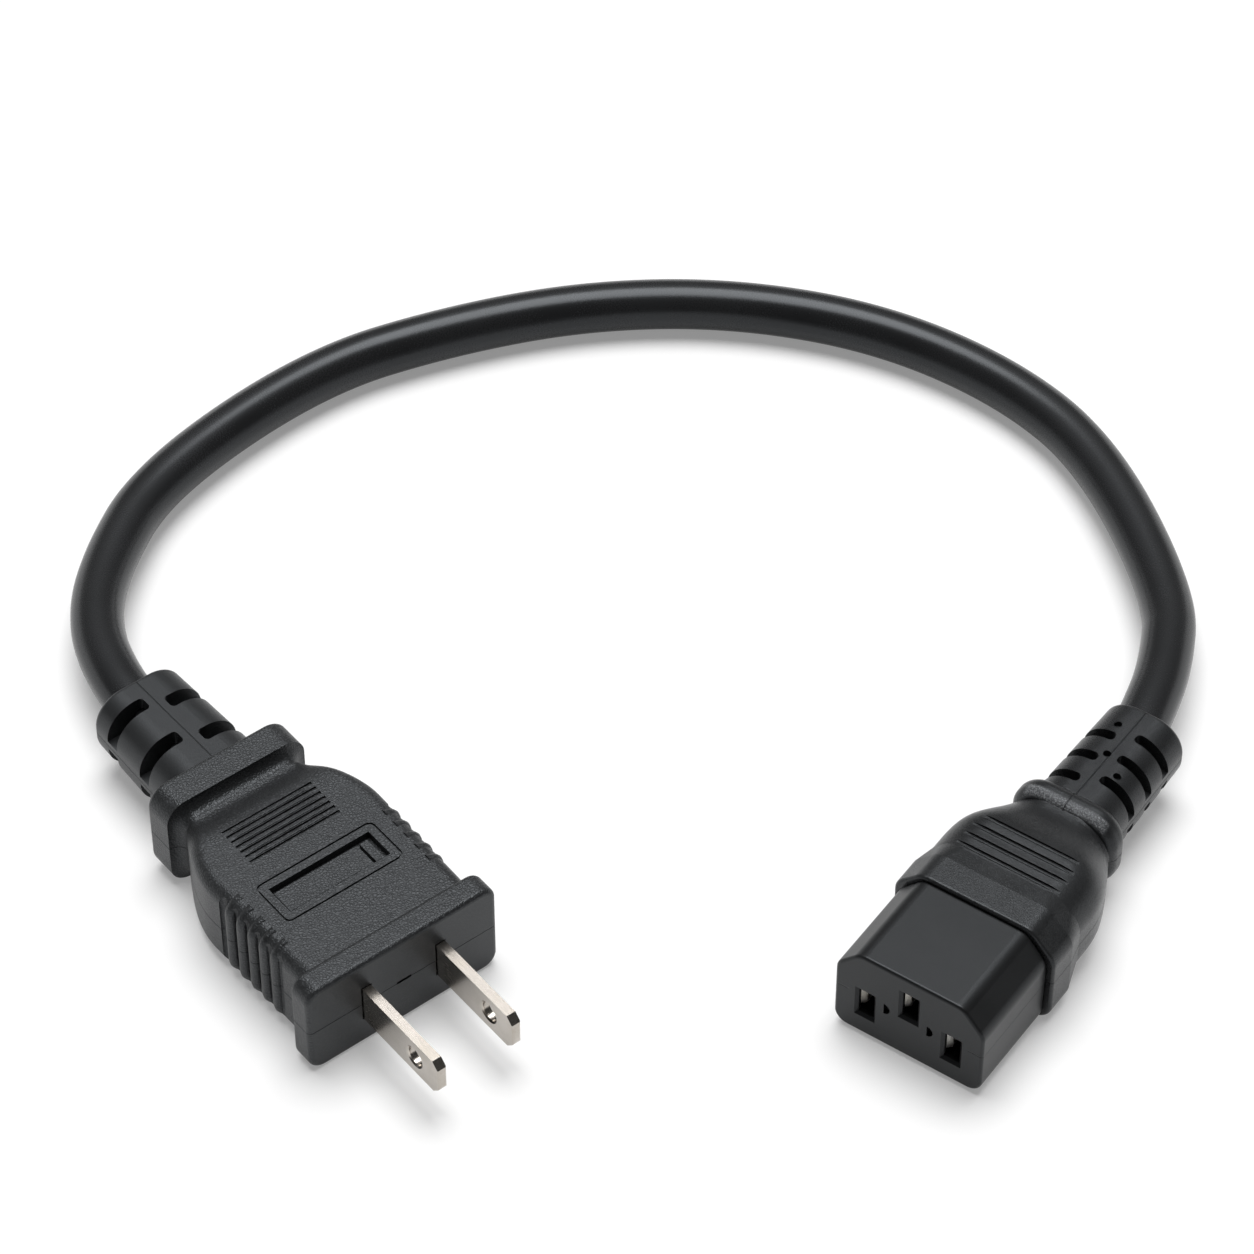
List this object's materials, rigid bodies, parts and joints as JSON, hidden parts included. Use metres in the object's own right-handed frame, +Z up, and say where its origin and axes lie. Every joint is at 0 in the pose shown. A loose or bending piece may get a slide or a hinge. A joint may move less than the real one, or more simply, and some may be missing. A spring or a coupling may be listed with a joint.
{
  "type": "type a plug",
  "caption": "Black moulded flat-blade mains plug with ribbed grip and slotted strain relief, on a short round cord that ends in a bevelled appliance connector.",
  "frame": {"origin": "on the surface that the plug lies on, under the middle of the plug with its blades", "axes": "+X out of the plug along its blades, +Z up from the surface, +Y across the plug towards the neutral blade and the side that the cord loops to"},
  "size_m": [0.174, 0.1678, 0.0171],
  "materials": {
    "plug_moulding": "fine grain, satin",
    "connector_moulding": "smooth, satin",
    "connector_nose": "smooth, satin",
    "cord": "smooth, soft sheen",
    "inner_moulding": "matt",
    "blades": "nickel plated, polished",
    "contacts": "bright",
    "conductors": "bare copper",
    "live_insulation": "smooth",
    "neutral_insulation": "smooth"
  },
  "bodies": {
    "root": {"plug_moulding": "plug_moulding", "plug_blade_carrier": "inner_moulding", "blade_live": "blades", "blade_neutral": "blades", "plug_live_insulation": "live_insulation", "plug_live_conductor": "conductors", "plug_neutral_insulation": "neutral_insulation", "plug_neutral_conductor": "conductors", "cord": "cord", "connector_moulding": "connector_moulding", "connector_nose": "connector_nose", "connector_backing": "inner_moulding", "contact_live": "contacts", "contact_earth": "contacts", "contact_neutral": "contacts", "connector_live_insulation": "live_insulation", "connector_live_conductor": "conductors", "connector_neutral_insulation": "neutral_insulation", "connector_neutral_conductor": "conductors"}
  },
  "joints": []
}
